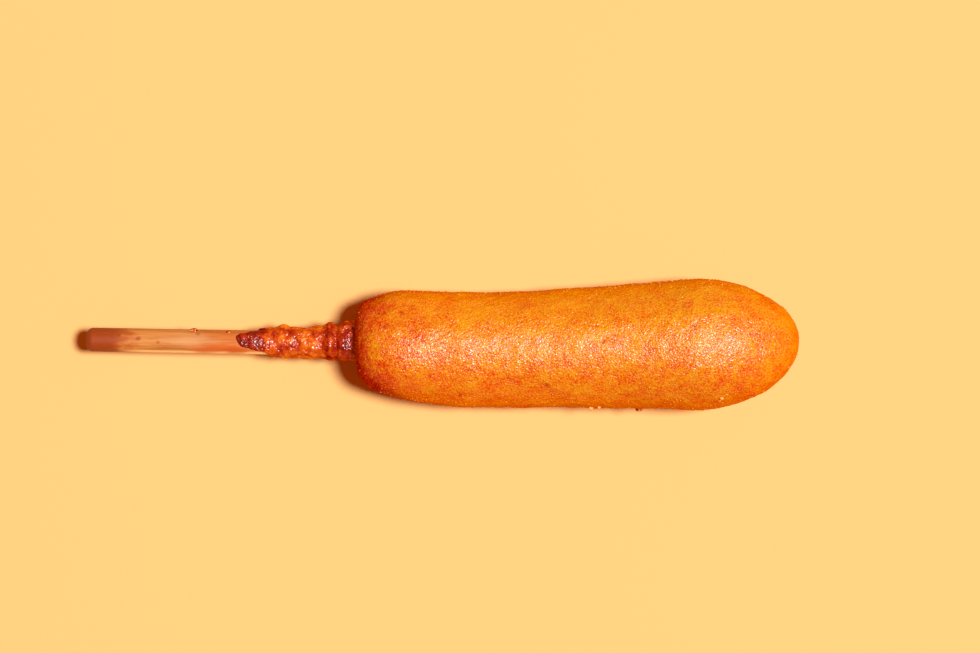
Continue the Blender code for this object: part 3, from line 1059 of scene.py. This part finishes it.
# %% Fat-soaked birch
FIBRE_WIDTH = 0.45 * MM
STREAK_WIDTH = 1.5 * MM
FIBRE_SQUEEZE = 0.06
FIBRE_RANGE = (0.78, 1.2)
wood = bpy.data.materials.new("fat_soaked_birch")
wood.use_nodes = True
tree = wood.node_tree
shader = tree.nodes["Principled BSDF"]
place = add_node(tree, "ShaderNodeTexCoord").outputs["Object"]
turn_back = stick_matrix.to_3x3().inverted()
lined_up = add_node(
    tree, "ShaderNodeMapping",
    {"Vector": place, "Rotation": tuple(turn_back.to_euler()),
     "Location": tuple(-(turn_back @ stick_end))},
).outputs[0]
wood_axes = add_node(tree, "ShaderNodeSeparateXYZ", {0: lined_up}).outputs
fibre_place = add_node(
    tree, "ShaderNodeMapping", {"Vector": lined_up, "Scale": (FIBRE_SQUEEZE, 1.0, 1.0)}
).outputs[0]
fibres = add_node(
    tree, "ShaderNodeTexNoise",
    {"Vector": fibre_place, "Scale": 1 / FIBRE_WIDTH, "Detail": 3.0, "Roughness": 0.6},
).outputs[0]
streaks = add_node(
    tree, "ShaderNodeTexNoise",
    {"Vector": fibre_place, "Scale": 1 / STREAK_WIDTH, "Detail": 2.0},
).outputs[0]
both = add_node(tree, "ShaderNodeMath", {0: fibres, 1: streaks}, operation="ADD").outputs[0]
fibre_share = add_node(
    tree, "ShaderNodeMapRange",
    {"Value": both, "From Min": FIBRE_RANGE[0], "From Max": FIBRE_RANGE[1]},
).outputs[0]
colour = add_node(
    tree, "ShaderNodeMix", {0: fibre_share, 6: linear("#9C5E2A"), 7: linear("#B87E3E")},
    data_type="RGBA",
).outputs[2]
print("wood fibres in mm:", round(FIBRE_WIDTH / MM, 2))

# %% [markdown]
# A stain has the places along the stick where it starts to show and where it is whole, how far the
# ragged noise moves its front, its colour and its strength.

# %% Stains from the fat and the batter
RAGGED_SIZE = 1.6 * MM
RAGGED_SQUEEZE = 0.3
ragged_place = add_node(
    tree, "ShaderNodeMapping", {"Vector": lined_up, "Scale": (RAGGED_SQUEEZE, 1.0, 1.0)}
).outputs[0]
ragged = add_node(
    tree, "ShaderNodeTexNoise", {"Vector": ragged_place, "Scale": 1 / RAGGED_SIZE, "Detail": 4.0}
).outputs[0]
STAINS = (
    ("orange_by_the_batter", 30.0, 44.0, 10.0, "#B85A1C", 0.4),
    ("half_soaked_end", 21.5, 17.5, 16.0, "#A04C1A", 0.75),
    ("soaked_bare_end", 19.0, 11.0, 12.0, "#84380F", 1.0),
)
for name, start, end, front_reach, stain, strength in STAINS:
    moved = add_node(
        tree, "ShaderNodeMath", {0: ragged, 1: front_reach * MM}, operation="MULTIPLY"
    ).outputs[0]
    front = add_node(
        tree, "ShaderNodeMath", {0: wood_axes["X"], 1: moved}, operation="ADD"
    ).outputs[0]
    soaked = add_node(
        tree, "ShaderNodeMapRange",
        {"Value": front, "From Min": start * MM, "From Max": end * MM, "To Max": strength},
        interpolation_type="SMOOTHSTEP", label=name,
    )
    colour = add_node(
        tree, "ShaderNodeMix", {0: soaked.outputs[0], 6: colour, 7: linear(stain)},
        data_type="RGBA",
    ).outputs[2]
print("stains:", ", ".join(stain[0] for stain in STAINS))

# %% [markdown]
# Along its side towards -Y, the lower side seen from above, the dowel has a pale strip of painted
# light. It stands in for the light that the table throws back onto that edge and is not the wood's own
# colour.

# %% Painted bounce light on the stick
PAINTED_BOUNCE_EDGE = (-0.70 * STICK_RADIUS, -0.92 * STICK_RADIUS)
PAINTED_BOUNCE_START = (8 * MM, 15 * MM)
painted_light_strip = add_node(
    tree, "ShaderNodeMapRange",
    {"Value": wood_axes["Y"], "From Min": PAINTED_BOUNCE_EDGE[0], "From Max": PAINTED_BOUNCE_EDGE[1]},
    interpolation_type="SMOOTHSTEP",
).outputs[0]
beyond_end = add_node(
    tree, "ShaderNodeMapRange",
    {"Value": wood_axes["X"], "From Min": PAINTED_BOUNCE_START[0], "From Max": PAINTED_BOUNCE_START[1]},
).outputs[0]
painted_light_strip = add_node(tree, "ShaderNodeMath", {0: painted_light_strip, 1: beyond_end}, operation="MULTIPLY").outputs[0]
colour = add_node(
    tree, "ShaderNodeMix", {0: painted_light_strip, 6: colour, 7: linear("#EEC27C")},
    data_type="RGBA",
).outputs[2]
print("pale strip on the lower side")

# %% [markdown]
# Two smears of batter, a paler patch and four dark specks sit on the upper side, each at its own
# place: how far along the stick and how far across it, its length and its width in millimetres,
# its colour and its strength. A mark is an ellipsoid round a point of the skin, and the ragged
# noise frays its edge.

# %% Marks on the wood
MARKS = (
    (34.5, -2.0, 15.0, 2.4, "#B4541C", 0.7), (40.0, -2.3, 6.0, 2.0, "#B04A16", 0.6),
    (27.0, 0.4, 13.0, 4.2, "#C09868", 0.35), (14.0, 0.4, 1.4, 0.9, "#7E3212", 0.7),
    (8.9, 1.3, 1.2, 0.8, "#6A2A10", 0.5), (19.3, -0.4, 1.2, 0.8, "#8A3A14", 0.6),
    (29.8, 2.0, 1.4, 0.8, "#8A3A14", 0.5),
)
MARK_FRAY = 2.0
MARK_EDGE = (2.4, 1.4)
for along_mm, across_mm, length, width, mark_colour, strength in MARKS:
    up_mm = math.sqrt((STICK_RADIUS / MM) ** 2 - across_mm**2)
    mark = add_node(
        tree, "ShaderNodeVectorMath",
        {0: lined_up, 1: (along_mm * MM, across_mm * MM, up_mm * MM)}, operation="SUBTRACT",
    )
    mark = add_node(
        tree, "ShaderNodeVectorMath",
        {0: mark.outputs[0], 1: (2 / (length * MM), 2 / (width * MM), 1 / STICK_RADIUS)},
        operation="MULTIPLY",
    )
    mark = add_node(tree, "ShaderNodeVectorMath", {0: mark.outputs[0]}, operation="LENGTH")
    frayed = add_node(
        tree, "ShaderNodeMath", {0: ragged, 1: MARK_FRAY, 2: mark.outputs["Value"]},
        operation="MULTIPLY_ADD",
    )
    mark = add_node(
        tree, "ShaderNodeMapRange",
        {"Value": frayed.outputs[0], "From Min": MARK_EDGE[0], "From Max": MARK_EDGE[1],
         "To Max": strength},
        interpolation_type="SMOOTHSTEP",
    )
    colour = add_node(
        tree, "ShaderNodeMix", {0: mark.outputs[0], 6: colour, 7: linear(mark_colour)},
        data_type="RGBA",
    ).outputs[2]
print("marks on the wood:", len(MARKS))

# %% Finish the wood
FIBRE_RELIEF = 0.06 * MM
WOOD_ROUGHNESS = 0.5
tree.links.new(colour, shader.inputs["Base Color"])
wood_bump = add_node(
    tree, "ShaderNodeBump", {"Height": fibres, "Distance": FIBRE_RELIEF, "Strength": 0.8}
)
tree.links.new(wood_bump.outputs[0], shader.inputs["Normal"])
shader.inputs["Roughness"].default_value = WOOD_ROUGHNESS
shader.inputs["Specular IOR Level"].default_value = 0.2
print("wood material:", wood.name)

# %% The stick
stick = bpy.data.objects.new("stick_wood", bpy.data.meshes.new("stick_wood"))
bpy.context.scene.collection.objects.link(stick)
turned = stick.modifiers.new("turned", "NODES")
turned.node_group = stick_tree
give_inputs(turned, {
    "Length": STICK_LENGTH, "Radius": STICK_RADIUS, "Rounding": 1.9 * MM,
    "Grain width": 0.7 * MM, "Grain depth": 0.05 * MM, "Seed": 2.0, "Material": wood,
})
made_plain(stick, "stick_wood")
stick.data.transform(stick_matrix)
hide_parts("stick")
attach(stick, "root")
print("stick is in place")

# %% [markdown]
# ## Crumbs
# A few crumbs of batter cling to the stick and to the lower side of the body. Each is a small
# irregular lump. Its place is a spot in the picture, and it is moved onto the nearest skin that
# carries it, sunk in by about a third. A crumb has its carrier, its X, Y and Z, and its radius.

# %% Crumbs on the stick and the body
CRUMBS = (
    (stick, -66.0, 4.8, 13.8, 0.95), (stick, -56.6, 4.4, 14.4, 0.45),
    (body_crust, 39.4, -17.2, 18.0, 0.55), (body_crust, 41.6, -17.1, 19.0, 0.4),
    (body_crust, 52.2, -17.4, 16.0, 0.65), (body_crust, 73.4, -13.6, 26.0, 0.5),
    (body_crust, 74.8, -12.4, 26.5, 0.35), (body_crust, 73.0, -14.6, 25.0, 0.3),
)
CRUMB_WAVES = (2600, 3100)
CRUMB_ROUGHNESS = 0.16
CRUMB_LENGTH, CRUMB_HEIGHT = 1.3, 0.7
CRUMB_LIFT = 0.3
crumb_bm = bmesh.new()
for number, (carrier, x, y, z, radius) in enumerate(CRUMBS):
    _, skin, outwards, _ = carrier.closest_point_on_mesh(Vector((x, y, z)) * MM)
    lump = bmesh.ops.create_icosphere(crumb_bm, subdivisions=2, radius=radius * MM)["verts"]
    for vert in lump:
        wave = math.sin(vert.co.x * CRUMB_WAVES[0] + number)
        wave += math.sin(vert.co.y * CRUMB_WAVES[1] + 2 * number)
        vert.co *= 1.0 + CRUMB_ROUGHNESS * wave
        vert.co.x *= CRUMB_LENGTH
        vert.co.z *= CRUMB_HEIGHT
        vert.co += skin + outwards * radius * CRUMB_LIFT * MM
crumb_mesh = bpy.data.meshes.new("crumbs")
crumb_bm.to_mesh(crumb_mesh)
crumb_bm.free()
crumb_mesh.shade_smooth()
crumb_mesh.materials.append(crumb_material)
crumbs = bpy.data.objects.new("crumbs", crumb_mesh)
bpy.context.scene.collection.objects.link(crumbs)
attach(crumbs, "root")
print("crumbs:", len(CRUMBS))
